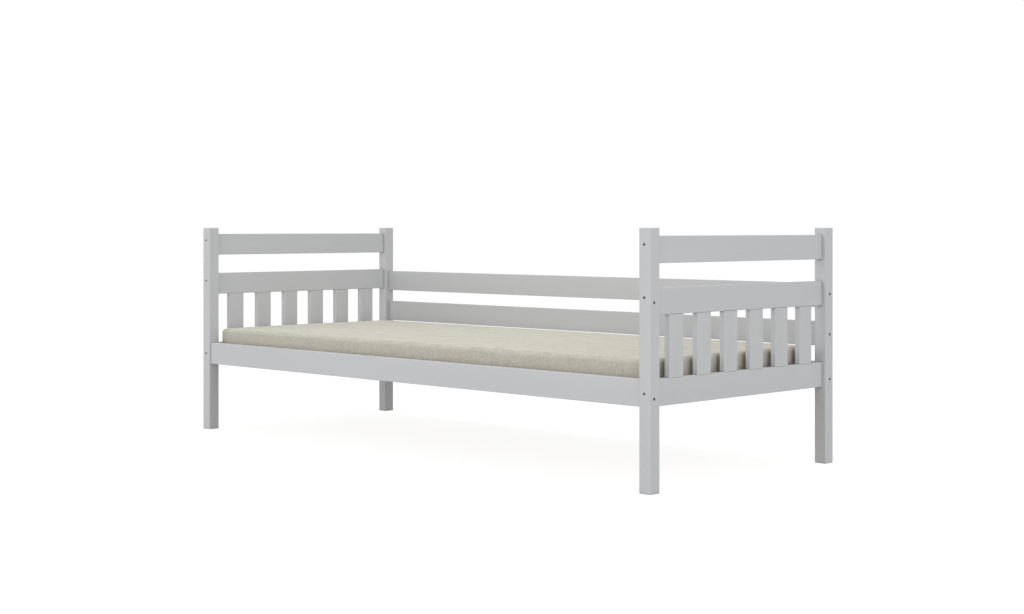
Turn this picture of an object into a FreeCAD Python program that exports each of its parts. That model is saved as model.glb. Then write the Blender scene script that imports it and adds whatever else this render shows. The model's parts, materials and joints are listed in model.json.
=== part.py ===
import FreeCAD, Part
import os
from collections import namedtuple

# A grey painted single bed for a child: slatted ends, two guard boards along the back,
# a loose slatted base and a foam mattress. Millimetres, +X along the bed, +Y towards the
# guarded back, +Z up, origin on the floor under the middle of the bed.

os.makedirs("parts", exist_ok=True)
Vector = FreeCAD.Vector
X_AXIS = Vector(1, 0, 0)
Y_AXIS = Vector(0, 1, 0)
Z_AXIS = Vector(0, 0, 1)
full_turn = 360
parallel_limit = 0.01

# Frame
overall_length = 2090.0
overall_width = 868.0
post_height = 720.0
post_side = 40.0
post_edge_radius = 2.5
post_top_radius = 2.0

# Boards of the frame
board_height = 75.0
board_edge_radius = 2.0
end_rail_thickness = 19.0
end_panel_shift = -1.5
side_rail_thickness = 24.0
guard_thickness = 18.0
rail_setback = 5.0

# Underside of each board, as a share of the post height
end_rail_level_shares = {"bottom_rail": 0.325, "middle_rail": 0.6705, "top_rail": 0.866}
side_level_shares = {"side_rail": 0.325, "guard_lower": 0.4971, "guard_upper": 0.6604}

# Bolt and dowel heights inside a board, as a share of the board height
end_bolt_shares = {"bottom_rail": 0.493, "middle_rail": 0.643, "top_rail": 0.687}
end_dowel_shares = {"bottom_rail": 0.8, "middle_rail": 0.28, "top_rail": 0.28}
side_bolt_shares = {"side_rail": 0.307, "guard_lower": 0.48, "guard_upper": 0.56}
side_dowel_shares = {"side_rail": 0.72, "guard_lower": 0.8, "guard_upper": 0.2}

# Spindles of the ends
spindle_count = 6
spindle_width = 62.0
spindle_thickness = 19.0
spindle_edge_radius = 3.0
spindle_pitch_share = 0.156
tenon_width = 45.0
tenon_thickness = 8.0
tenon_length = 12.0
tenon_clearance = 0.15
tenon_end_room = 0.5

# Bolts, inserts and dowels; round fasteners are drawn with flats to keep them light
head_sides = 12
pin_sides = 8
shank_radius = 2.5
shank_clearance = 0.25
head_radius = 4.0
head_height = 5.0
head_recess = 0.8
head_clearance = 0.2
socket_sides = 6
socket_radius = 2.3
socket_depth = 2.5
bolt_grip = 14.0
spare_hole_skin = 6.0
insert_radius = 4.0
insert_length = 15.0
insert_clearance = 0.1
insert_end_room = 0.5
thread_clearance = 0.1
dowel_radius = 4.0
dowel_post_depth = 12.0
dowel_rail_depth = 24.0
dowel_clearance = 0.1
dowel_end_room = 0.4

# Slat cleats and their screws
cleat_width = 21.0
cleat_height = 24.0
cleat_rise = 3.0
cleat_end_gap = 5.0
cleat_edge_radius = 1.5
screw_count = 6
screw_end_distance = 120.0
screw_radius = 2.0
screw_head_radius = 4.0
screw_head_height = 2.4
screw_rail_depth = 14.0
screw_clearance = 0.1
screw_head_sink = 0.3

# Slatted base
slat_count = 13
slat_width = 70.0
slat_thickness = 18.0
slat_edge_chamfer = 1.5
slat_side_clearance = 3.0
slat_end_margin = 10.0
tape_width = 25.0
tape_thickness = 1.0
tape_line_share = 0.43

# Mattress
mattress_height = 80.0
mattress_crown = 1.5
mattress_side_clearance = 4.0
mattress_end_clearance = 5.0
mattress_corner_radius = 19.0
mattress_edge_radius = 17.5
cover_thickness = 10.0
core_clearance = 0.3

# Places that follow from the sizes above
outer_x = overall_length / 2
outer_y = overall_width / 2
post_x = outer_x - post_side / 2
post_y = outer_y - post_side / 2
inner_x = outer_x - post_side
inner_y = outer_y - post_side
bolt_line_y = outer_y - rail_setback - side_rail_thickness / 2
rail_inner_y = outer_y - rail_setback - side_rail_thickness
counterbore_depth = head_recess + head_height
bolt_length = post_side - counterbore_depth + bolt_grip
side_rail_bottom = post_height * side_level_shares["side_rail"]
cleat_bottom = side_rail_bottom + cleat_rise
slat_bottom = cleat_bottom + cleat_height
slat_top = slat_bottom + slat_thickness
mattress_top = slat_top + mattress_height
mattress_half_x = inner_x - mattress_end_clearance
mattress_half_y = inner_y - mattress_side_clearance

# A bolt or dowel place: the point on the post's outer face it is set out from, and the way in
Seat = namedtuple("Seat", "end side board face inward")
ends = {"left": -1, "right": 1}
sides = {"front": -1, "back": 1}
long_boards = {"front": ["side_rail"], "back": ["side_rail", "guard_lower", "guard_upper"]}
drilled_levels = {"front": ["side_rail", "guard_upper"], "back": ["side_rail", "guard_lower", "guard_upper"]}
long_thickness = {
    "side_rail": side_rail_thickness,
    "guard_lower": guard_thickness,
    "guard_upper": guard_thickness,
}


def block(x_span, y_span, z_span):
    corner = Vector(x_span[0], y_span[0], z_span[0])
    return Part.makeBox(x_span[1] - x_span[0], y_span[1] - y_span[0], z_span[1] - z_span[0], corner)


def around(middle, size):
    return (middle - size / 2, middle + size / 2)


def spread(count, pitch):
    return [(index - (count - 1) / 2) * pitch for index in range(count)]


def edges_along(solid, axis):
    def off_axis(edge):
        return edge.tangentAt(edge.FirstParameter).cross(axis).Length

    return [edge for edge in solid.Edges if off_axis(edge) < parallel_limit]


def eased(solid, axis, radius):
    """Round the edges of a board that run along one axis."""
    return solid.makeFillet(radius, edges_along(solid, axis))


def ring(middle, direction, radius, sides):
    """A closed outline with equal sides, across a level direction; its first corner points up."""
    turns = [FreeCAD.Rotation(direction, full_turn / sides * corner) for corner in range(sides + 1)]
    return Part.makePolygon([middle + turn.multVec(Z_AXIS * radius) for turn in turns])


def prism(start, direction, length, radius, sides=pin_sides):
    return Part.Face(ring(start, direction, radius, sides)).extrude(direction * length)


def cut_all(solid, tools):
    return solid.cut(Part.makeCompound(tools))


def save(name, shape):
    shape.exportStep("parts/" + name + ".step")
    print(name, "solids", len(shape.Solids), "valid", shape.isValid())


def bolt(seat):
    """Cylinder head bolt, its head sunk under the post face it is put in from."""
    head_start = seat.face + seat.inward * head_recess
    head = prism(head_start, seat.inward, head_height, head_radius, head_sides)
    shank = prism(seat.face + seat.inward * counterbore_depth, seat.inward, bolt_length, shank_radius)
    socket = prism(head_start, seat.inward, socket_depth, socket_radius, socket_sides)
    return head.fuse(shank).removeSplitter().cut(socket)


def post_bore(seat):
    wide = prism(seat.face, seat.inward, counterbore_depth, head_radius + head_clearance, head_sides)
    narrow = prism(seat.face, seat.inward, post_side, shank_radius + shank_clearance)
    return wide.fuse(narrow)


def spare_bore(seat):
    """The blind hole for a bolt that is not fitted, drilled truly round."""
    wide = Part.makeCylinder(head_radius + head_clearance, counterbore_depth, seat.face, seat.inward)
    depth = post_side - spare_hole_skin
    narrow = Part.makeCylinder(shank_radius + shank_clearance, depth, seat.face, seat.inward)
    return wide.fuse(narrow)


def insert(seat):
    start = seat.face + seat.inward * post_side
    sleeve = prism(start, seat.inward, insert_length, insert_radius)
    return sleeve.cut(prism(start, seat.inward, insert_length, shank_radius + thread_clearance))


def insert_bore(seat):
    start = seat.face + seat.inward * post_side
    return prism(start, seat.inward, insert_length + insert_end_room, insert_radius + insert_clearance)


def dowel(seat):
    start = seat.face + seat.inward * (post_side - dowel_post_depth)
    return prism(start, seat.inward, dowel_post_depth + dowel_rail_depth, dowel_radius)


def dowel_bore(seat):
    start = seat.face + seat.inward * (post_side - dowel_post_depth - dowel_end_room)
    length = dowel_post_depth + dowel_rail_depth + dowel_end_room + dowel_end_room
    return prism(start, seat.inward, length, dowel_radius + dowel_clearance)


# Bolts and dowels that hold the end rails, put in along Y
end_bolts = []
end_dowels = []
for end, end_sign in ends.items():
    panel_x = end_sign * post_x + end_panel_shift
    for side, side_sign in sides.items():
        inward = Y_AXIS * -side_sign
        for board, level_share in end_rail_level_shares.items():
            bottom = post_height * level_share
            bolt_z = bottom + board_height * end_bolt_shares[board]
            dowel_z = bottom + board_height * end_dowel_shares[board]
            bolt_face = Vector(panel_x, side_sign * outer_y, bolt_z)
            dowel_face = Vector(panel_x, side_sign * outer_y, dowel_z)
            end_bolts.append(Seat(end, side, board, bolt_face, inward))
            end_dowels.append(Seat(end, side, board, dowel_face, inward))

# Bolts and dowels that hold the side rails and guards, put in along X, and the spare holes
side_bolts = []
side_dowels = []
spare_holes = []
for end, end_sign in ends.items():
    for side, side_sign in sides.items():
        inward = X_AXIS * -end_sign
        for board in drilled_levels[side]:
            bottom = post_height * side_level_shares[board]
            bolt_z = bottom + board_height * side_bolt_shares[board]
            dowel_z = bottom + board_height * side_dowel_shares[board]
            bolt_face = Vector(end_sign * outer_x, side_sign * bolt_line_y, bolt_z)
            dowel_face = Vector(end_sign * outer_x, side_sign * bolt_line_y, dowel_z)
            if board in long_boards[side]:
                side_bolts.append(Seat(end, side, board, bolt_face, inward))
                side_dowels.append(Seat(end, side, board, dowel_face, inward))
            else:
                spare_holes.append(Seat(end, side, board, bolt_face, inward))

# Posts
for end, end_sign in ends.items():
    for side, side_sign in sides.items():
        x_span = around(end_sign * post_x, post_side)
        y_span = around(side_sign * post_y, post_side)
        post = eased(block(x_span, y_span, (0, post_height)), Z_AXIS, post_edge_radius)
        top_edges = [edge for edge in post.Edges if edge.BoundBox.ZMin > post_height - post_edge_radius]
        post = post.makeFillet(post_top_radius, top_edges)
        here = (end, side)
        bores = [post_bore(seat) for seat in end_bolts + side_bolts if seat[:2] == here]
        bores += [dowel_bore(seat) for seat in end_dowels + side_dowels if seat[:2] == here]
        bores += [spare_bore(seat) for seat in spare_holes if seat[:2] == here]
        save("post_" + side + "_" + end, cut_all(post, bores))

# Ends: three rails and six spindles in each
spindle_pitch = (inner_y + inner_y) * spindle_pitch_share
spindle_places = spread(spindle_count, spindle_pitch)
spindle_bottom = post_height * end_rail_level_shares["bottom_rail"] + board_height
spindle_top = post_height * end_rail_level_shares["middle_rail"]


def spindle(x_middle, y_middle):
    x_span = around(x_middle, spindle_thickness)
    y_span = around(y_middle, spindle_width)
    body = eased(block(x_span, y_span, (spindle_bottom, spindle_top)), Z_AXIS, spindle_edge_radius)
    tenon = block(
        around(x_middle, tenon_thickness),
        around(y_middle, tenon_width),
        (spindle_bottom - tenon_length, spindle_top + tenon_length),
    )
    return body.fuse(tenon).removeSplitter()


def mortise(x_middle, y_middle):
    room = tenon_clearance + tenon_clearance
    return block(
        around(x_middle, tenon_thickness + room),
        around(y_middle, tenon_width + room),
        (spindle_bottom - tenon_length - tenon_end_room, spindle_top + tenon_length + tenon_end_room),
    )


for end, end_sign in ends.items():
    x_middle = end_sign * post_x + end_panel_shift
    for board, level_share in end_rail_level_shares.items():
        bottom = post_height * level_share
        x_span = around(x_middle, end_rail_thickness)
        rail = block(x_span, (-inner_y, inner_y), (bottom, bottom + board_height))
        rail = eased(rail, Y_AXIS, board_edge_radius)
        bores = [insert_bore(seat) for seat in end_bolts if seat.end == end and seat.board == board]
        bores += [dowel_bore(seat) for seat in end_dowels if seat.end == end and seat.board == board]
        if board != "top_rail":
            bores += [mortise(x_middle, y_middle) for y_middle in spindle_places]
        save(end + "_" + board, cut_all(rail, bores))
    for index, y_middle in enumerate(spindle_places):
        save(end + "_spindle_" + str(index + 1), spindle(x_middle, y_middle))

# Slat cleat screws: the point on the cleat's inner face and the way into the side rail
screw_pitch = (inner_x + inner_x - screw_end_distance - screw_end_distance) / (screw_count - 1)
screw_z = cleat_bottom + cleat_height / 2
cleat_screws = []
for side, side_sign in sides.items():
    for x_middle in spread(screw_count, screw_pitch):
        face = Vector(x_middle, side_sign * (rail_inner_y - cleat_width), screw_z)
        cleat_screws.append((side, face, Y_AXIS * side_sign))


def screw(face, inward, room):
    """Countersunk screw, its head a little under the face; with room it is the hole for one."""
    flare = (screw_head_radius - screw_radius) / screw_head_height
    mouth_depth = 0 if room else screw_head_sink
    mouth_radius = screw_radius + flare * (screw_head_height + screw_head_sink - mouth_depth)
    throat = face + inward * (screw_head_sink + screw_head_height)
    wide = ring(face + inward * mouth_depth, inward, mouth_radius + room, pin_sides)
    head = Part.makeLoft([wide, ring(throat, inward, screw_radius + room, pin_sides)], True, True)
    shank_length = cleat_width + screw_rail_depth - screw_head_sink - screw_head_height
    shank = prism(throat, inward, shank_length + room, screw_radius + room)
    return head.fuse(shank).removeSplitter()


def screw_bores(side):
    return [screw(face, inward, screw_clearance) for where, face, inward in cleat_screws if where == side]


# Long boards: the two side rails and the two guards at the back
for side, side_sign in sides.items():
    for board in long_boards[side]:
        bottom = post_height * side_level_shares[board]
        outer_face = side_sign * (outer_y - rail_setback)
        inner_face = side_sign * (outer_y - rail_setback - long_thickness[board])
        y_span = sorted((outer_face, inner_face))
        rail = block((-inner_x, inner_x), y_span, (bottom, bottom + board_height))
        rail = eased(rail, X_AXIS, board_edge_radius)
        bores = [insert_bore(seat) for seat in side_bolts if seat.side == side and seat.board == board]
        bores += [dowel_bore(seat) for seat in side_dowels if seat.side == side and seat.board == board]
        if board == "side_rail":
            bores += screw_bores(side)
        save(side + "_" + board, cut_all(rail, bores))

# Slat cleats on the inner faces of the side rails
for side, side_sign in sides.items():
    outer_face = side_sign * rail_inner_y
    inner_face = side_sign * (rail_inner_y - cleat_width)
    y_span = sorted((outer_face, inner_face))
    x_span = (-inner_x + cleat_end_gap, inner_x - cleat_end_gap)
    cleat = eased(block(x_span, y_span, (cleat_bottom, slat_bottom)), X_AXIS, cleat_edge_radius)
    save(side + "_slat_cleat", cut_all(cleat, screw_bores(side)))

# Slatted base: slats across, on two tapes that keep them apart
slat_half = rail_inner_y - slat_side_clearance
slat_reach = mattress_half_x - slat_end_margin
slat_pitch = (slat_reach + slat_reach - slat_width) / (slat_count - 1)
slat_places = spread(slat_count, slat_pitch)
tape_line = (slat_half + slat_half) * tape_line_share
for index, x_middle in enumerate(slat_places):
    slat = block(around(x_middle, slat_width), (-slat_half, slat_half), (slat_bottom, slat_top))
    slat = slat.makeChamfer(slat_edge_chamfer, edges_along(slat, Y_AXIS))
    save("bed_slat_" + str(index + 1).zfill(2), slat)
for side, side_sign in sides.items():
    tape_span = around(side_sign * tape_line, tape_width)
    tape = block((-slat_reach, slat_reach), tape_span, (slat_bottom - tape_thickness, slat_bottom))
    save(side + "_slat_tape", tape)


def cushion():
    """The mattress outside: a crowned top, rounded corners in plan, soft edges above and below."""
    front_foot = Vector(-mattress_half_x, -mattress_half_y, slat_top)
    back_foot = Vector(-mattress_half_x, mattress_half_y, slat_top)
    front_rim = Vector(-mattress_half_x, -mattress_half_y, mattress_top)
    back_rim = Vector(-mattress_half_x, mattress_half_y, mattress_top)
    crown = Vector(-mattress_half_x, 0, mattress_top + mattress_crown)
    outline = [
        Part.LineSegment(back_foot, front_foot).toShape(),
        Part.LineSegment(front_foot, front_rim).toShape(),
        Part.Arc(front_rim, crown, back_rim).toShape(),
        Part.LineSegment(back_rim, back_foot).toShape(),
    ]
    form = Part.Face(Part.Wire(outline)).extrude(X_AXIS * (mattress_half_x + mattress_half_x))
    form = eased(form, Z_AXIS, mattress_corner_radius)
    rims = [edge for edge in form.Edges if edge.BoundBox.ZLength < mattress_edge_radius]
    return form.makeFillet(mattress_edge_radius, rims)


def foam_block(inset):
    """The plain block of foam, its corners cut off in plan, that lies on the cover's floor."""
    x_half = mattress_half_x - inset
    y_half = mattress_half_y - inset
    z_span = (slat_top + cover_thickness, mattress_top - inset)
    foam = block((-x_half, x_half), (-y_half, y_half), z_span)
    return foam.makeChamfer(mattress_corner_radius - inset, edges_along(foam, Z_AXIS))


# Mattress: a thick quilted cover around a foam core
save("mattress_cover", cushion().cut(foam_block(cover_thickness)))
save("mattress_core", foam_block(cover_thickness + core_clearance))

# Fasteners: identical pieces share one file as separate solids
groups = {
    "end_rail_bolts": [bolt(seat) for seat in end_bolts],
    "end_rail_inserts": [insert(seat) for seat in end_bolts],
    "end_rail_dowels": [dowel(seat) for seat in end_dowels],
    "side_rail_bolts": [bolt(seat) for seat in side_bolts],
    "side_rail_inserts": [insert(seat) for seat in side_bolts],
    "side_rail_dowels": [dowel(seat) for seat in side_dowels],
    "cleat_screws": [screw(face, inward, 0) for where, face, inward in cleat_screws],
}
for name, solids in groups.items():
    save(name, Part.makeCompound(solids))
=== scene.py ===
# %% [markdown]
# # A grey kids bed, dressed over its measured frame
# The bed is a single bed in painted softwood: four square posts, two slatted ends, a rail
# along each side, two guard boards at the back, a loose slatted base and a foam mattress.
# Its solids come ready made and sit in one frame: metres, +X along the bed, +Y towards the
# guarded back, +Z up. This lesson adds what the solids lack: camera, light, finishes, the
# soft mattress and the small staples under the base.

import itertools
import json
import math

import bmesh
import bpy
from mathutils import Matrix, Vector

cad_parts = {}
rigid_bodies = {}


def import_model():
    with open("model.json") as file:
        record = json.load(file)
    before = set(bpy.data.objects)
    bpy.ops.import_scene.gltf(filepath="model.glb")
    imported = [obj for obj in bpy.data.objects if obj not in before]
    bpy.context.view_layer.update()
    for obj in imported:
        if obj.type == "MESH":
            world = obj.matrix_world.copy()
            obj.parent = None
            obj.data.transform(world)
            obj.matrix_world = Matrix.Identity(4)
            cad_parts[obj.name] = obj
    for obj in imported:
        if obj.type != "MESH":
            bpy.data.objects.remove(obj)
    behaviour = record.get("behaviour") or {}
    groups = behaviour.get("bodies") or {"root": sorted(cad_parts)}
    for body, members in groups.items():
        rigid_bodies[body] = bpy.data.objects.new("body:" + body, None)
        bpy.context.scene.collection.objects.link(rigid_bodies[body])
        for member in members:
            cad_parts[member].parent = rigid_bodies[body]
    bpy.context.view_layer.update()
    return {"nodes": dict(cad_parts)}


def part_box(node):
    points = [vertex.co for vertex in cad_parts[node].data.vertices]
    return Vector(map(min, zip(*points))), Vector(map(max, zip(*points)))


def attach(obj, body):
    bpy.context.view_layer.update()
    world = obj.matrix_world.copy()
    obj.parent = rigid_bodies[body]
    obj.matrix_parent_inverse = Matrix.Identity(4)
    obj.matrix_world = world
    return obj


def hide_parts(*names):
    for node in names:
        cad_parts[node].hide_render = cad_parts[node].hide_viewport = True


for stray in list(bpy.data.objects):
    bpy.data.objects.remove(stray)
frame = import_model()
solids = frame["nodes"]
scene = bpy.context.scene
scene.view_settings.view_transform = "Standard"

# %% [markdown]
# ## Camera
# The picture was taken from the front right corner with upright edges kept parallel, as with
# a shift lens. A camera that looks level and is shifted down gives the same: its horizon
# stands above the middle of the frame. Place and lens were solved from the bed's own corners,
# so nothing is fitted by eye afterwards.

# %% Camera
frame_width_px = 1024
frame_height_px = 614
horizon_row_px = 228.22
focal_length_px = 1637.7
heading_degrees = 44.854
film_width_mm = 36
camera_place = (3.8903, -3.8216, 0.7186)

camera_data = bpy.data.cameras.new("corner_camera")
camera_data.sensor_width = film_width_mm
camera_data.lens = film_width_mm * focal_length_px / frame_width_px
camera_data.shift_y = (horizon_row_px - frame_height_px / 2) / frame_width_px
camera = bpy.data.objects.new("corner_camera", camera_data)
camera.location = camera_place
camera.rotation_euler = (math.radians(90), 0, math.radians(heading_degrees))
scene.collection.objects.link(camera)
scene.camera = camera
print("lens:", round(camera_data.lens, 2), "mm, shift:", round(camera_data.shift_y, 4))

# %% [markdown]
# ## Small helpers for shader nodes
# Every finish below is a graph of nodes. A few short helpers keep the graphs readable. The
# first adds a node and fills its sockets with a value or a link, and the others use it: for
# arithmetic on numbers and vectors, for a smooth step, for mixing two numbers, colours or
# shaders, and for a noise.

# %% Node helpers
def put(tree, kind, inputs=None, **settings):
    """Add a node. Each input is a plain value, or the socket that feeds it."""
    made = tree.nodes.new(kind)
    for name, value in settings.items():
        setattr(made, name, value)
    for name, value in (inputs or {}).items():
        if isinstance(value, bpy.types.NodeSocket):
            tree.links.new(value, made.inputs[name])
        else:
            made.inputs[name].default_value = value
    return made


def sums(tree, operation, first, second=0.0):
    return put(tree, "ShaderNodeMath", {0: first, 1: second}, operation=operation).outputs[0]


def plus(tree, first, second):
    return sums(tree, "ADD", first, second)


def times(tree, first, second):
    return sums(tree, "MULTIPLY", first, second)


def vectors(tree, operation, first, second):
    return put(tree, "ShaderNodeVectorMath", {0: first, 1: second}, operation=operation)


def scaled(tree, vector, factor):
    inputs = {0: vector, "Scale": factor}
    return put(tree, "ShaderNodeVectorMath", inputs, operation="SCALE").outputs[0]


def fade(tree, value, start, stop, low=0.0, high=1.0):
    """A smooth step from low to high while value goes from start to stop."""
    inputs = {"Value": value, "From Min": start, "From Max": stop, "To Min": low, "To Max": high}
    return put(tree, "ShaderNodeMapRange", inputs, interpolation_type="SMOOTHSTEP").outputs[0]


def between(tree, share, first, second):
    """The number that lies between two others by a share."""
    inputs = {0: share, 2: first, 3: second}
    return put(tree, "ShaderNodeMix", inputs, data_type="FLOAT").outputs[0]


def mixed(tree, share, first, second):
    """The colour that lies between two others by a share."""
    inputs = {0: share, 6: first, 7: second}
    return put(tree, "ShaderNodeMix", inputs, data_type="RGBA").outputs[2]


def blended(tree, share, first, second):
    """The shader that lies between two others by a share."""
    inputs = {0: share, 1: first.outputs[0], 2: second.outputs[0]}
    return put(tree, "ShaderNodeMixShader", inputs)


def speckle(tree, place, scale, detail=2.0, roughness=0.5):
    inputs = {"Vector": place, "Scale": scale, "Detail": detail, "Roughness": roughness}
    return put(tree, "ShaderNodeTexNoise", inputs).outputs["Fac"]


print("node helpers ready")

# %% [markdown]
# ## Floor and white surround
# The bed stands in a plain white studio. The surround could be a lit backdrop, but more light
# there would also light the bed. So the rays that the camera, gloss or glass send out see
# plain white, and all other rays see the dim sky that lights the bed. The floor is a real
# pale surface that takes the shadow; a white share for camera rays lifts it to the surround.
# From below it is clear, so the underside of the bed can be looked at through it. It lies a
# hair lower than the feet, so the two surfaces don't fight.

# %% Floor and surround
sky_strength = 0.57
surround_strength = 1.0
white = (1.0, 1.0, 1.0, 1.0)


def sees_white(tree):
    """One for rays from the camera, from gloss and through glass."""
    path = put(tree, "ShaderNodeLightPath").outputs
    seen = sums(tree, "MAXIMUM", path["Is Camera Ray"], path["Is Glossy Ray"])
    return sums(tree, "MAXIMUM", seen, path["Is Transmission Ray"])


world = bpy.data.worlds.new("white_studio")
world.use_nodes = True
scene.world = world
sky_tree = world.node_tree
sky_tree.nodes.clear()
sky = put(sky_tree, "ShaderNodeBackground", {"Color": white, "Strength": sky_strength})
surround = put(sky_tree, "ShaderNodeBackground", {"Color": white, "Strength": surround_strength})
both = blended(sky_tree, sees_white(sky_tree), sky, surround)
put(sky_tree, "ShaderNodeOutputWorld", {"Surface": both.outputs[0]})

floor_half = 30.0
floor_gap = 0.0003
floor_shape = bmesh.new()
bmesh.ops.create_grid(floor_shape, x_segments=2, y_segments=2, size=floor_half)
floor_mesh = bpy.data.meshes.new("studio_floor")
floor_shape.to_mesh(floor_mesh)
floor_shape.free()
floor = bpy.data.objects.new("studio_floor", floor_mesh)
floor.location.z = -floor_gap
scene.collection.objects.link(floor)

floor_grey = (0.62, 0.62, 0.62, 1.0)
shadow_grey = (0.2, 0.2, 0.2, 1.0)
glow_strength = 0.9
floor_paint = bpy.data.materials.new("pale_floor")
floor_paint.use_nodes = True
floor_tree = floor_paint.node_tree
floor_tree.nodes.clear()
bounce = put(floor_tree, "ShaderNodeBsdfDiffuse", {"Color": floor_grey})
shadowed = put(floor_tree, "ShaderNodeBsdfDiffuse", {"Color": shadow_grey})
glow = put(floor_tree, "ShaderNodeEmission", {"Color": white, "Strength": glow_strength})
lifted = put(floor_tree, "ShaderNodeAddShader", {0: shadowed.outputs[0], 1: glow.outputs[0]})
shown = blended(floor_tree, sees_white(floor_tree), bounce, lifted)
clear = put(floor_tree, "ShaderNodeBsdfTransparent")
from_below = put(floor_tree, "ShaderNodeNewGeometry").outputs["Backfacing"]
one_way = blended(floor_tree, from_below, shown, clear)
put(floor_tree, "ShaderNodeOutputMaterial", {"Surface": one_way.outputs[0]})
floor_mesh.materials.append(floor_paint)
print("floor", 2 * floor_half, "m across, sky strength", sky_strength)

# %% [markdown]
# ## Lamps
# The light is even, with no hard shadow: front faces a little brighter than the right end,
# and the inside of the back darker on the left. Large area lamps do that. Each is aimed at
# the middle of the bed, and none shows itself to the camera.

# %% Lamps
bed_middle = Vector((0.0, 0.0, 0.4))
# Each lamp has its place, the width of its square and its power in watts
lamp_table = {
    "left_front_lamp": ((-4.2, -4.2, 2.0), 3.0, 41.0),
    "front_lamp": ((0.0, -5.0, 2.0), 3.0, 44.5),
    "camera_lamp": ((4.2, -4.2, 2.0), 3.0, 38.0),
    "right_lamp": ((4.4, -0.4, 2.0), 3.0, 31.0),
    "top_lamp": ((0.0, 0.6, 5.0), 4.0, 70.0),
}
for lamp_name, (lamp_place, lamp_size, lamp_watts) in lamp_table.items():
    lamp_data = bpy.data.lights.new(lamp_name, "AREA")
    lamp_data.size = lamp_size
    lamp_data.energy = lamp_watts
    lamp = bpy.data.objects.new(lamp_name, lamp_data)
    lamp.location = lamp_place
    aim = bed_middle - Vector(lamp_place)
    lamp.rotation_euler = aim.to_track_quat("-Z", "Y").to_euler()
    lamp.visible_camera = False
    scene.collection.objects.link(lamp)
print("lamps:", ", ".join(lamp_table))

# %% [markdown]
# ## Wood grain as a node group
# Every board of the bed is sawn from softwood, painted or bare, so the grain is built once.
# Wood grows in rings around its pith and its fibres run along the trunk. The group takes the
# distance from an axis along the grain, lets a slow noise push it about, and cuts it into
# rings; the same place, squeezed along the grain, gives long fibres. The per piece number
# moves the pattern, so no two boards match.

# %% Wood grain group
def new_group(name, inputs, outputs):
    """An empty shader group with named sockets; returns it with its inner ends."""
    group = bpy.data.node_groups.new(name, "ShaderNodeTree")
    for label, (kind, default) in inputs.items():
        socket = group.interface.new_socket(label, in_out="INPUT", socket_type=kind)
        socket.default_value = default
    for label in outputs:
        group.interface.new_socket(label, in_out="OUTPUT", socket_type="NodeSocketFloat")
    start = group.nodes.new("NodeGroupInput").outputs
    end = group.nodes.new("NodeGroupOutput").inputs
    return group, start, end


grain_inputs = {
    "Place": ("NodeSocketVector", (0.0, 0.0, 0.0)),
    "Along": ("NodeSocketVector", (1.0, 0.0, 0.0)),
    "Piece": ("NodeSocketFloat", 0.0),
    "Ring width": ("NodeSocketFloat", 0.006),
    "Ring wander": ("NodeSocketFloat", 0.03),
}
piece_step = (3.7, 5.3, 7.9)
drift_squeeze = 0.06
fibre_squeeze = 0.012
wander_scale = 9.0
drift_scale = 14.0
fibre_scale = 620.0
late_start = 0.25
late_end = 0.9

grain, start, end = new_group("wood_grain", grain_inputs, ["Rings", "Fibres", "Drift"])
moved = vectors(grain, "ADD", start["Place"], scaled(grain, piece_step, start["Piece"])).outputs[0]
run = vectors(grain, "DOT_PRODUCT", moved, start["Along"]).outputs["Value"]
run_vector = scaled(grain, start["Along"], run)
across = vectors(grain, "SUBTRACT", moved, run_vector).outputs[0]
long_place = vectors(grain, "ADD", across, scaled(grain, run_vector, drift_squeeze)).outputs[0]
fine_place = vectors(grain, "ADD", across, scaled(grain, run_vector, fibre_squeeze)).outputs[0]
pith_distance = vectors(grain, "LENGTH", across, (0.0, 0.0, 0.0)).outputs["Value"]
wander = sums(grain, "SUBTRACT", speckle(grain, long_place, wander_scale), 0.5)
pushed = plus(grain, pith_distance, times(grain, wander, start["Ring wander"]))
ring_part = sums(grain, "FRACT", sums(grain, "DIVIDE", pushed, start["Ring width"]))
ring_rise = fade(grain, ring_part, late_start, late_end)
ring_fall = fade(grain, ring_part, late_end, 1.0, 1.0, 0.0)
grain.links.new(times(grain, ring_rise, ring_fall), end["Rings"])
grain.links.new(speckle(grain, fine_place, fibre_scale, 3.0, 0.6), end["Fibres"])
grain.links.new(speckle(grain, long_place, drift_scale, 3.0), end["Drift"])
print("group:", grain.name, "nodes:", len(grain.nodes))

# %% [markdown]
# ## Worn edges as a node group
# On a painted board the film is thinnest on the rounded edges, where hands and cloths rub it
# smooth. An edge could be painted by hand; here a rounded normal is compared with the true
# one, and where they differ there is an edge. A noise breaks the line up.

# %% Edge rub group
rub_inputs = {
    "Place": ("NodeSocketVector", (0.0, 0.0, 0.0)),
    "Radius": ("NodeSocketFloat", 0.004),
}
flat_likeness = 0.995
edge_likeness = 0.86
patch_scale = 60.0

rub, start, end = new_group("edge_rub", rub_inputs, ["Rub"])
soft_normal = put(rub, "ShaderNodeBevel", {"Radius": start["Radius"]}, samples=4).outputs[0]
true_normal = put(rub, "ShaderNodeNewGeometry").outputs["True Normal"]
likeness = vectors(rub, "DOT_PRODUCT", soft_normal, true_normal).outputs["Value"]
edge_mask = fade(rub, likeness, flat_likeness, edge_likeness)
patchy = fade(rub, speckle(rub, start["Place"], patch_scale, 3.0), 0.3, 0.7)
rub.links.new(times(rub, edge_mask, patchy), end["Rub"])
print("group:", rub.name, "nodes:", len(rub.nodes))
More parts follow.
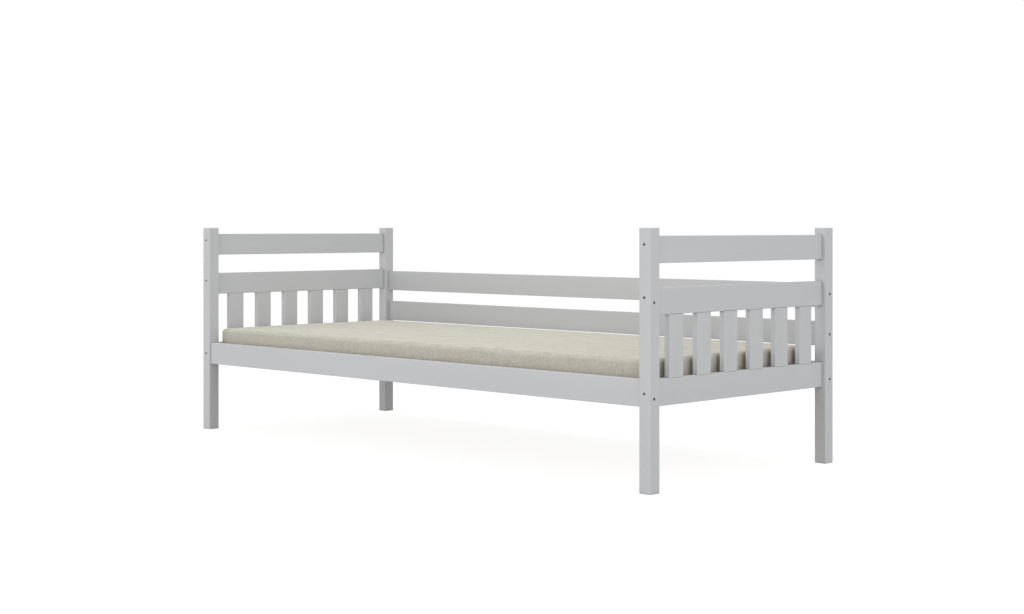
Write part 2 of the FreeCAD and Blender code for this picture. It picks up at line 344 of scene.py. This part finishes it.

# %% [markdown]
# ## Painted joint shade as a node group
# Where two boards meet, in inner corners and down a drilled hole, shade is painted into the
# colour: a thin dark line along each joint and a hole dark all the way in. The boards could be
# cut apart by a hair, but lines that thin would flicker. Ambient occlusion with a short reach
# finds the same places: it tells how much of the near surroundings is blocked. The painted
# shade is stronger on level surfaces, as under a spindle, than on upright ones, except deep in
# a hole.

# %% Joint shade group
joint_inputs = {
    "Reach": ("NodeSocketFloat", 0.010),
    "Open": ("NodeSocketFloat", 0.95),
    "Closed": ("NodeSocketFloat", 0.42),
    "Upright share": ("NodeSocketFloat", 0.35),
}
hole_starts = 0.4
hole_deep = 0.2

joint_shade, start, end = new_group("painted_joint_shade", joint_inputs, ["Shade"])
occlusion = put(joint_shade, "ShaderNodeAmbientOcclusion", {"Distance": start["Reach"]}, samples=8)
openness = occlusion.outputs["AO"]
closeness = fade(joint_shade, openness, start["Open"], start["Closed"])
normal = put(joint_shade, "ShaderNodeNewGeometry").outputs["Normal"]
upward = put(joint_shade, "ShaderNodeSeparateXYZ", {0: normal}).outputs["Z"]
level = sums(joint_shade, "ABSOLUTE", upward)
by_facing = fade(joint_shade, level, 0.0, 1.0, start["Upright share"], 1.0)
kept = sums(joint_shade, "MAXIMUM", by_facing, fade(joint_shade, openness, hole_starts, hole_deep))
joint_shade.links.new(times(joint_shade, closeness, kept), end["Shade"])
print("group:", joint_shade.name, "nodes:", len(joint_shade.nodes))

# %% [markdown]
# ## Painted wood
# The frame is sprayed with a satin light grey. The film hides the wood's colour and nearly all
# of its relief: rings and fibres are left as very faint lines along each board, and a fine
# orange peel lies over them. Edges are rubbed a little paler. Joints, inner corners and holes
# are darkened with painted shade. Posts and spindles have their grain upright, side rails and
# guards along the bed and end rails across it, so one recipe makes three paints.

# %% Painted wood
def new_finish(name):
    """A material with one Principled shader; returns material, node tree and shader."""
    finish = bpy.data.materials.new(name)
    finish.use_nodes = True
    return finish, finish.node_tree, finish.node_tree.nodes["Principled BSDF"]


def grained(tree, along, ring_width, ring_wander):
    """Place the grain group in a finish, in the object's own coordinates."""
    place = put(tree, "ShaderNodeTexCoord").outputs["Object"]
    inputs = {
        "Place": place,
        "Along": along,
        "Piece": put(tree, "ShaderNodeObjectInfo").outputs["Random"],
        "Ring width": ring_width,
        "Ring wander": ring_wander,
    }
    return place, put(tree, "ShaderNodeGroup", inputs, node_tree=grain).outputs


def bumped(tree, shader, height, strength, depth):
    bump = put(tree, "ShaderNodeBump", {"Height": height, "Strength": strength, "Distance": depth})
    tree.links.new(bump.outputs[0], shader.inputs["Normal"])


grain_ways = {"along": (1.0, 0.0, 0.0), "across": (0.0, 1.0, 0.0), "upright": (0.0, 0.0, 1.0)}
paint_light = (0.580, 0.587, 0.602, 1.0)
paint_deep = (0.556, 0.563, 0.578, 1.0)
paint_rubbed = (0.62, 0.626, 0.640, 1.0)
paint_joint_shade = (0.08, 0.082, 0.086, 1.0)
paint_ring_width = 0.0065
paint_ring_wander = 0.03
peel_scale = 480.0
ring_tone_share = 0.1
rub_tone_share = 0.2
rub_gloss_share = 0.1
joint_shade_share = 0.85
fibre_relief = 0.3
ring_relief = -0.12
peel_relief = 0.3


def painted_wood(way):
    finish, tree, shader = new_finish("grey_paint_" + way)
    place, wood = grained(tree, grain_ways[way], paint_ring_width, paint_ring_wander)
    rubbed = put(tree, "ShaderNodeGroup", {"Place": place}, node_tree=rub).outputs["Rub"]
    shade = put(tree, "ShaderNodeGroup", node_tree=joint_shade).outputs["Shade"]
    peel = speckle(tree, place, peel_scale)
    streaks = plus(tree, times(tree, wood["Rings"], ring_tone_share), wood["Drift"])
    tone = mixed(tree, fade(tree, streaks, 0.25, 0.85), paint_light, paint_deep)
    edged = mixed(tree, times(tree, rubbed, rub_tone_share), tone, paint_rubbed)
    # Painted shade: joints, inner corners and holes darkened by the joint shade group
    lined = mixed(tree, times(tree, shade, joint_shade_share), edged, paint_joint_shade)
    tree.links.new(lined, shader.inputs["Base Color"])
    dull = fade(tree, peel, 0.2, 0.8, 0.42, 0.56)
    worn = sums(tree, "SUBTRACT", dull, times(tree, rubbed, rub_gloss_share))
    tree.links.new(worn, shader.inputs["Roughness"])
    fibres = times(tree, wood["Fibres"], fibre_relief)
    rings = times(tree, wood["Rings"], ring_relief)
    height = plus(tree, plus(tree, fibres, rings), times(tree, peel, peel_relief))
    bumped(tree, shader, height, 0.14, 0.0003)
    return finish


paints = {way: painted_wood(way) for way in grain_ways}
print("paints:", ", ".join(finish.name for finish in paints.values()))

# %% [markdown]
# ## Bare pine
# The slats, the cleats they lie on and the dowels are planed pine without paint. Its late
# wood is darker and harder, so rings show as warm lines, with a small knot here and there.
# The same grain group is used, now for colour. Knots are the cells of a Voronoi pattern,
# cut down to small round spots.

# %% Bare pine
pine_early = (0.72, 0.53, 0.31, 1.0)
pine_late = (0.52, 0.31, 0.14, 1.0)
pine_dull = (0.60, 0.40, 0.20, 1.0)
pine_knot = (0.20, 0.09, 0.035, 1.0)
pine_ring_width = 0.007
pine_ring_wander = 0.07
knot_scale = 5.5
late_tone_share = 0.75
dull_tone_share = 0.35
late_relief = 0.4


def bare_pine(way):
    finish, tree, shader = new_finish("planed_pine_" + way)
    place, wood = grained(tree, grain_ways[way], pine_ring_width, pine_ring_wander)
    cell_inputs = {"Vector": place, "Scale": knot_scale, "Randomness": 1.0}
    cells = put(tree, "ShaderNodeTexVoronoi", cell_inputs)
    knots = fade(tree, cells.outputs["Distance"], 0.03, 0.075, 1.0, 0.0)
    ringed = mixed(tree, times(tree, wood["Rings"], late_tone_share), pine_early, pine_late)
    dulled = fade(tree, wood["Drift"], 0.25, 0.8, 0.0, dull_tone_share)
    fibrous = mixed(tree, dulled, ringed, pine_dull)
    tree.links.new(mixed(tree, knots, fibrous, pine_knot), shader.inputs["Base Color"])
    tree.links.new(fade(tree, wood["Fibres"], 0.2, 0.8, 0.5, 0.72), shader.inputs["Roughness"])
    height = plus(tree, times(tree, wood["Rings"], late_relief), wood["Fibres"])
    bumped(tree, shader, height, 0.35, 0.0004)
    return finish


pines = {way: bare_pine(way) for way in ("along", "across")}
print("pines:", ", ".join(finish.name for finish in pines.values()))

# %% [markdown]
# ## Steel of the fasteners
# The bolts are blackened steel; inserts, screws and staples are zinc plated. Blackened steel
# is dark with a dull, cloudy gloss. It comes in two copies: a paler one on the bolts of the end
# rails along the open front, as painted light, and a darker one on the bolts of the side rails,
# as painted shade in their recesses. Zinc shows small crystals of different grey. All are one
# metal recipe: the cells of a Voronoi pattern under a cloud.

# %% Steel
cloud_scale = 700.0
black_tones = ((0.015, 0.016, 0.018, 1.0), (0.035, 0.036, 0.038, 1.0))
pale_lit_tones = ((0.085, 0.087, 0.091, 1.0), (0.155, 0.158, 0.162, 1.0))
zinc_tones = ((0.46, 0.47, 0.49, 1.0), (0.70, 0.71, 0.73, 1.0))


def steel(name, tones, dull, cell_scale):
    finish, tree, shader = new_finish(name)
    place = put(tree, "ShaderNodeTexCoord").outputs["Object"]
    cells = put(tree, "ShaderNodeTexVoronoi", {"Vector": place, "Scale": cell_scale})
    cell_tone = put(tree, "ShaderNodeSeparateColor", {0: cells.outputs["Color"]}).outputs[0]
    cloud = speckle(tree, place, cloud_scale, 3.0)
    share = times(tree, plus(tree, cell_tone, cloud), 0.5)
    tree.links.new(mixed(tree, share, *tones), shader.inputs["Base Color"])
    gloss = fade(tree, cloud, 0.2, 0.8, dull - 0.08, dull + 0.1)
    tree.links.new(gloss, shader.inputs["Roughness"])
    shader.inputs["Metallic"].default_value = 1.0
    bumped(tree, shader, cloud, 0.1, 0.0002)
    return finish


# The darker copy is painted shade for the side rails' recessed bolts; the paler copy is painted
# light
black_steel = steel("blackened_steel", black_tones, 0.42, 900.0)
pale_lit_steel = steel("pale_lit_steel", pale_lit_tones, 0.42, 900.0)
zinc_steel = steel("zinc_plate", zinc_tones, 0.34, 1200.0)
print("steels:", black_steel.name, pale_lit_steel.name, zinc_steel.name)

# %% [markdown]
# ## Woven tape
# Two tapes hold the slats at their distance. A tape is woven from flat white yarns, so crossed
# waves give its weave: warp along the tape, weft across it, a yarn every one and a half
# millimetres.

# %% Woven tape
yarn_step = 0.0015
yarn_shade = (0.52, 0.51, 0.47, 1.0)
yarn_light = (0.78, 0.77, 0.73, 1.0)
fluff_scale = 300.0
fluff_share = 0.8

tape_finish, tree, shader = new_finish("woven_tape")
place = put(tree, "ShaderNodeTexCoord").outputs["Object"]
axes = put(tree, "ShaderNodeSeparateXYZ", {0: place}).outputs
yarn_turn = 2 * math.pi / yarn_step
warp = sums(tree, "SINE", times(tree, axes["Y"], yarn_turn))
weft = sums(tree, "SINE", times(tree, axes["X"], yarn_turn))
weave = times(tree, warp, weft)
fluff = speckle(tree, place, fluff_scale, 3.0)
yarn_share = fade(tree, plus(tree, weave, times(tree, fluff, fluff_share)), -0.8, 1.4)
tree.links.new(mixed(tree, yarn_share, yarn_shade, yarn_light), shader.inputs["Base Color"])
tree.links.new(fade(tree, fluff, 0.2, 0.8, 0.75, 0.9), shader.inputs["Roughness"])
bumped(tree, shader, weave, 0.5, 0.0003)
print("tape finish:", tape_finish.name)

# %% [markdown]
# ## Finishes on the solids
# Every solid keeps its shape and place and only changes its finish. A table from the start of
# a name to a finish is enough, because the pieces are named for what they are. The mattress
# gets its own finish further down.

# %% Finishes on the solids
finish_by_name = {
    "post_": paints["upright"],
    "left_spindle": paints["upright"],
    "right_spindle": paints["upright"],
    "left_": paints["across"],
    "right_": paints["across"],
    "front_side_rail": paints["along"],
    "back_side_rail": paints["along"],
    "back_guard": paints["along"],
    "bed_slat": pines["across"],
    "front_slat_cleat": pines["along"],
    "back_slat_cleat": pines["along"],
    "front_slat_tape": tape_finish,
    "back_slat_tape": tape_finish,
    # The end rails' bolts face the front and take the paler copy of the steel, painted light
    "end_rail_bolts": pale_lit_steel,
    "side_rail_bolts": black_steel,
    "end_rail_inserts": zinc_steel,
    "side_rail_inserts": zinc_steel,
    "cleat_screws": zinc_steel,
    "end_rail_dowels": pines["across"],
    "side_rail_dowels": pines["along"],
}


def give_finish(piece, finish):
    if not piece.material_slots:
        piece.data.materials.append(finish)
    for slot in piece.material_slots:
        slot.material = finish


dressed = 0
for solid_name, solid in solids.items():
    for beginning, finish in finish_by_name.items():
        if solid_name.startswith(beginning):
            give_finish(solid, finish)
            dressed += 1
            break
print("dressed", dressed, "of", len(solids), "solids")

# %% [markdown]
# ## Velour of the mattress
# The cover is a pale beige knitted velour: a short dense pile that lies along the bed on top,
# in faint streaks and low waves, and hangs down on the sides, where it shows a fine fuzz. The
# pile could be hair, but it is under a millimetre long, so colour, bump and a little sheen tell
# it. A group makes one lie of the pile; the finish places it twice and chooses by the way the
# surface faces. The sides' tones are set a little darker than the top's, as painted shade on
# the sides and painted light on the top. The joint shade group, with a longer reach, paints
# shade on the pile where it stands close to a rail or a slat.

# %% Pile group
pile_inputs = {
    "Place": ("NodeSocketVector", (0.0, 0.0, 0.0)),
    "Squeeze": ("NodeSocketVector", (1.0, 1.0, 1.0)),
}
wave_scale = 26.0
blotch_scale = 42.0
streak_scale = 70.0
tuft_scale = 330.0

pile_outputs = ["Streaks", "Tufts", "Blotches", "Waves"]
pile, start, end = new_group("velour_pile", pile_inputs, pile_outputs)
laid = vectors(pile, "MULTIPLY", start["Place"], start["Squeeze"]).outputs[0]
pile.links.new(speckle(pile, laid, streak_scale, 3.0, 0.6), end["Streaks"])
pile.links.new(speckle(pile, laid, tuft_scale, 3.0, 0.65), end["Tufts"])
pile.links.new(speckle(pile, start["Place"], blotch_scale, 3.0, 0.55), end["Blotches"])
pile.links.new(speckle(pile, laid, wave_scale), end["Waves"])
print("group:", pile.name, "nodes:", len(pile.nodes))

# %% Velour finish
# The top's tones are a little lighter than the sides': painted light on the top, painted shade on
# the sides
top_lit_tones = ((0.497, 0.478, 0.405, 1.0), (0.621, 0.600, 0.517, 1.0))
side_shaded_tones = ((0.440, 0.416, 0.352, 1.0), (0.650, 0.616, 0.534, 1.0))
top_squeeze = (0.22, 0.42, 1.0)
side_squeeze = (1.3, 1.3, 0.6)
top_shares = {"Streaks": 1.0, "Blotches": 0.5, "Tufts": 1.6, "Waves": 9.0}
side_shares = {"Streaks": 0.2, "Blotches": 0.22, "Tufts": 1.75, "Waves": 0.0}
velour_gap_shade = (0.15, 0.135, 0.105, 1.0)
gap_inputs = {"Reach": 0.05, "Open": 0.62, "Closed": 0.1, "Upright share": 1.0}
gap_shade_share = 0.6

velour, tree, shader = new_finish("beige_velour")
coords = put(tree, "ShaderNodeTexCoord").outputs
facing = put(tree, "ShaderNodeSeparateXYZ", {0: coords["Normal"]}).outputs["Z"]
on_top = fade(tree, sums(tree, "ABSOLUTE", facing), 0.0, 1.0)


def pile_look(squeeze, shares, tones):
    """One lie of the pile: its colour, its height for the bump, and its tufts."""
    inputs = {"Place": coords["Object"], "Squeeze": squeeze}
    lie = put(tree, "ShaderNodeGroup", inputs, node_tree=pile).outputs
    swings = {}
    for label, share in shares.items():
        swings[label] = times(tree, sums(tree, "SUBTRACT", lie[label], 0.5), share)
    lean = plus(tree, 0.5, swings["Streaks"])
    lean = plus(tree, lean, swings["Blotches"])
    lean = plus(tree, lean, swings["Tufts"])
    colour = mixed(tree, fade(tree, lean, 0.2, 0.8), *tones)
    return colour, plus(tree, lean, swings["Waves"]), lie["Tufts"]


side_colour, side_height, side_tufts = pile_look(side_squeeze, side_shares, side_shaded_tones)
top_colour, top_height, top_tufts = pile_look(top_squeeze, top_shares, top_lit_tones)
pile_colour = mixed(tree, on_top, side_colour, top_colour)
# Painted shade: the pile is darkened where rails, spindles and slats stand close to it
gap_shade = put(tree, "ShaderNodeGroup", gap_inputs, node_tree=joint_shade).outputs["Shade"]
shaded_pile = mixed(tree, times(tree, gap_shade, gap_shade_share), pile_colour, velour_gap_shade)
tree.links.new(shaded_pile, shader.inputs["Base Color"])
tufts = between(tree, on_top, side_tufts, top_tufts)
tree.links.new(fade(tree, tufts, 0.2, 0.8, 0.82, 0.95), shader.inputs["Roughness"])
shader.inputs["Sheen Weight"].default_value = 0.58
shader.inputs["Sheen Tint"].default_value = (1.0, 0.97, 0.86, 1.0)
shader.inputs["Sheen Roughness"].default_value = 0.3
shader.inputs["Specular IOR Level"].default_value = 0.2
bumped(tree, shader, between(tree, on_top, side_height, top_height), 0.6, 0.0018)
print("finish:", velour.name)

# %% [markdown]
# ## The mattress
# A foam block in a sewn cover is nearly flat on top, with a slight crown, soft rounded edges
# and long sides that bow out a little between the corners. A cube with bevels can't bend. So
# a grid of points is laid over the block, close together in the roundings, and each point is
# pulled to the same distance from an inner core, which rounds all edges and corners at once.
# Then the skin is blown up as cloth with a little pressure, its underside held on the slats.

# %% Mattress block
mattress_low, mattress_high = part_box("mattress_cover")
edge_radius = 0.015
crown_height = 0.0015
side_bow = 0.0025
bow_power = 6
mesh_step = 0.016
turn_steps = 3


def grid_lines(low, high):
    """Places of the mesh lines along one side: close in both roundings, even between them."""
    turns = [math.tan(math.pi / 4 * step / turn_steps) for step in range(turn_steps + 1)]
    count = max(1, round((high - low) / mesh_step))
    even = [low + (high - low) * step / count for step in range(1, count)]
    first = [low - edge_radius * turn for turn in reversed(turns)]
    last = [high + edge_radius * turn for turn in turns]
    return first + even + last


def rounded_block(name, low, high):
    """A crowned block with bowed long sides, its edges and corners rounded alike."""
    inset = Vector((edge_radius, edge_radius, edge_radius))
    core_low = low + inset
    core_high = high - inset
    lines = [grid_lines(core_low[axis], core_high[axis]) for axis in range(3)]
    last = [len(line) - 1 for line in lines]
    half_length = (high.x - low.x) / 2
    half_width = (high.y - low.y) / 2
    shape = bmesh.new()
    points = {}
    for place in itertools.product(*(range(most + 1) for most in last)):
        if all(0 < index < most for index, most in zip(place, last)):
            continue
        raw = Vector([line[index] for line, index in zip(lines, place)])
        core = Vector([min(max(raw[axis], core_low[axis]), core_high[axis]) for axis in range(3)])
        spot = core + (raw - core).normalized() * edge_radius
        lift = (spot.z - low.z) / (high.z - low.z)
        spot.z += crown_height * lift * (1 - (spot.y / half_width) ** 2)
        reach = 1 - (spot.x / half_length) ** bow_power
        spot.y += side_bow * 4 * lift * (1 - lift) * reach * spot.y / half_width
        points[place] = shape.verts.new(spot)
    for axis, side in itertools.product(range(3), (0, 1)):
        one = (axis + 1) % 3
        two = (axis + 2) % 3
        for i, j in itertools.product(range(last[one]), range(last[two])):
            corners = []
            for step_one, step_two in ((0, 0), (1, 0), (1, 1), (0, 1)):
                place = [0, 0, 0]
                place[axis] = side * last[axis]
                place[one] = i + step_one
                place[two] = j + step_two
                corners.append(points[tuple(place)])
            shape.faces.new(corners)
    bmesh.ops.recalc_face_normals(shape, faces=shape.faces)
    mesh = bpy.data.meshes.new(name)
    shape.to_mesh(mesh)
    shape.free()
    block = bpy.data.objects.new(name, mesh)
    scene.collection.objects.link(block)
    return block


rim_corner = Vector((mattress_high.x, mattress_high.y, mattress_high.z - crown_height))
mattress = rounded_block("velour_mattress", mattress_low, rim_corner)
print("mattress skin:", len(mattress.data.vertices), "points")

# %% Mattress swelling
swell_height = 0.001
swell_frames = 20
swell_pressure = 4.0
held_height = 0.012


def settle(piece):
    """Replace a piece's mesh by what its modifiers give now, and drop the modifiers."""
    graph = bpy.context.evaluated_depsgraph_get()
    settled = bpy.data.meshes.new_from_object(piece.evaluated_get(graph))
    piece.modifiers.clear()
    piece.data = settled


def swell(piece):
    """Blow the skin up as cloth, its underside pinned, then scale the move to what foam gives."""
    rest = [point.co.copy() for point in piece.data.vertices]
    underside = [i for i, co in enumerate(rest) if co.z < mattress_low.z + held_height]
    pins = piece.vertex_groups.new(name="on_slats")
    pins.add(underside, 1.0, "REPLACE")
    cloth = piece.modifiers.new("cover", "CLOTH")
    cloth.settings.vertex_group_mass = pins.name
    cloth.settings.use_pressure = True
    cloth.settings.uniform_pressure_force = swell_pressure
    cloth.settings.effector_weights.gravity = 0.0
    cloth.point_cache.frame_end = swell_frames
    for frame_number in range(1, swell_frames + 1):
        scene.frame_set(frame_number)
    settle(piece)
    scene.frame_set(1)
    steps = [point.co - before for point, before in zip(piece.data.vertices, rest)]
    longest = max(step.length for step in steps)
    print("longest move of the cloth:", round(longest, 4))
    for point, before, step in zip(piece.data.vertices, rest, steps):
        point.co = before + step * min(1.0, swell_height / longest)
        point.co.z = max(point.co.z, mattress_low.z)


swell(mattress)
finer = mattress.modifiers.new("finer", "SUBSURF")
finer.levels = 1
finer.render_levels = 1
for polygon in mattress.data.polygons:
    polygon.use_smooth = True
give_finish(mattress, velour)
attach(mattress, "mattress")
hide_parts("mattress_cover", "mattress_core")
give_finish(solids["mattress_cover"], velour)
give_finish(solids["mattress_core"], velour)
heights = [point.co.z for point in mattress.data.vertices]
print("mattress top:", round(max(heights), 4), "solid's:", round(mattress_high.z, 4))

# %% [markdown]
# ## Staples under the base
# A staple holds each slat to each tape: a thin zinc wire, bent twice, driven in from below.
# Only its crown shows. A wire could be a curve with a round section; sweeping a ring of points
# along the bent line gives the same as a plain mesh, and all staples share it.

# %% Staples
wire_radius = 0.0005
wire_sides = 8
staple_span = 0.010
leg_length = 0.006
bend_radius = 0.0012
bend_steps = 4


def staple_line():
    """The middle line of one staple in X and Z: up one leg, round, along the crown, down."""
    half = staple_span / 2
    line = [(-half, leg_length)]
    for step in range(bend_steps + 1):
        turn = math.pi / 2 * step / bend_steps
        inward = bend_radius * (1 - math.cos(turn))
        line.append((-half + inward, bend_radius * (1 - math.sin(turn))))
    return line + [(-x, z) for x, z in reversed(line)]


def add_staple(shape, place):
    line = [Vector((x, 0.0, z)) for x, z in staple_line()]
    turns = [2 * math.pi * corner / wire_sides for corner in range(wire_sides)]
    side = Vector((0.0, 1.0, 0.0))
    rings = []
    for index, middle in enumerate(line):
        ahead = line[min(index + 1, len(line) - 1)] - line[max(index - 1, 0)]
        out = side.cross(ahead.normalized())
        spokes = [side * math.cos(turn) + out * math.sin(turn) for turn in turns]
        rings.append([shape.verts.new(place + middle + spoke * wire_radius) for spoke in spokes])
    for first, second in zip(rings, rings[1:]):
        for corner in range(wire_sides):
            after = (corner + 1) % wire_sides
            shape.faces.new((first[corner], first[after], second[after], second[corner]))
    shape.faces.new(rings[0])
    shape.faces.new(rings[-1])


staple_shape = bmesh.new()
staple_count = 0
slat_names = sorted(name for name in solids if name.startswith("bed_slat"))
for tape_name in ("front_slat_tape", "back_slat_tape"):
    tape_low, tape_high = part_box(tape_name)
    for slat_name in slat_names:
        slat_low, slat_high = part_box(slat_name)
        middle_x = (slat_low.x + slat_high.x) / 2
        middle_y = (tape_low.y + tape_high.y) / 2
        add_staple(staple_shape, Vector((middle_x, middle_y, tape_low.z - wire_radius)))
        staple_count += 1
bmesh.ops.recalc_face_normals(staple_shape, faces=staple_shape.faces)
staple_mesh = bpy.data.meshes.new("tape_staples")
staple_shape.to_mesh(staple_mesh)
staple_shape.free()
for polygon in staple_mesh.polygons:
    polygon.use_smooth = True
staples = bpy.data.objects.new("tape_staples", staple_mesh)
scene.collection.objects.link(staples)
give_finish(staples, zinc_steel)
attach(staples, "slat_base")
print("staples:", staple_count)
